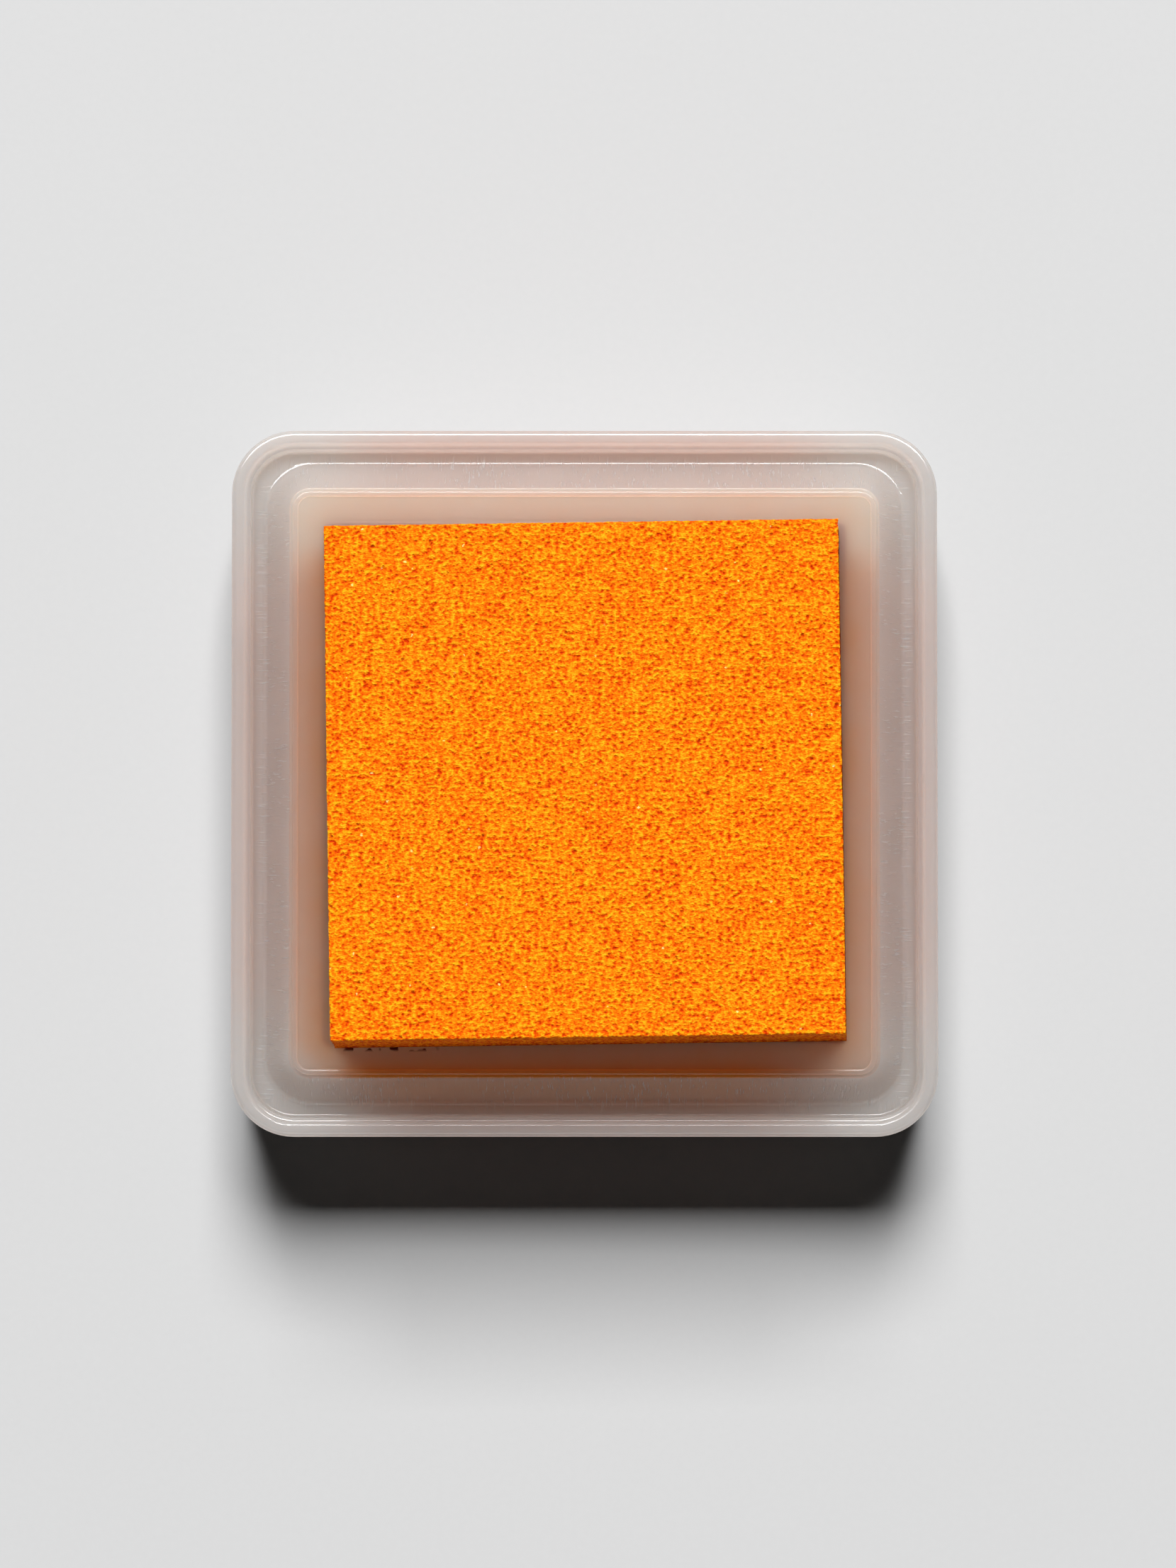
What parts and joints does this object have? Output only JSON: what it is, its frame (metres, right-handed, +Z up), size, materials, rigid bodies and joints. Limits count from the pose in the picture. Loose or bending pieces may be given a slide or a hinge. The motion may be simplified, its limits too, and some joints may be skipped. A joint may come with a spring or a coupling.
{
  "type": "ink pad",
  "caption": "Square ink pad with its lid off: inked foam stuck on the raised plinth of a translucent moulded case, with a groove round it for the lid.",
  "frame": {"origin": "centre of the footprint, on the surface the pad stands on", "axes": "+Z up out of the foam's stamping face, +Y towards the back, +X to the right"},
  "size_m": [0.0342, 0.0342, 0.0141],
  "materials": {
    "frosted_case": "frosted translucent polypropylene, satin, with fine scuffs and a light ink stain on the plinth",
    "adhesive": "clear glossy film",
    "inked_foam": "open-cell foam, matt, soaked with orange ink"
  },
  "bodies": {
    "case": {"case_base": "frosted_case", "adhesive_film": "adhesive"},
    "pad": {"foam_pad": "inked_foam"}
  },
  "joints": [
    {"name": "pad_press", "type": "slide", "parent": "case", "child": "pad", "axis": [0, 0, 1], "range_m": [-0.0015, 0], "stiffness_N_per_m": 2400, "deforming": ["foam_pad"]}
  ]
}
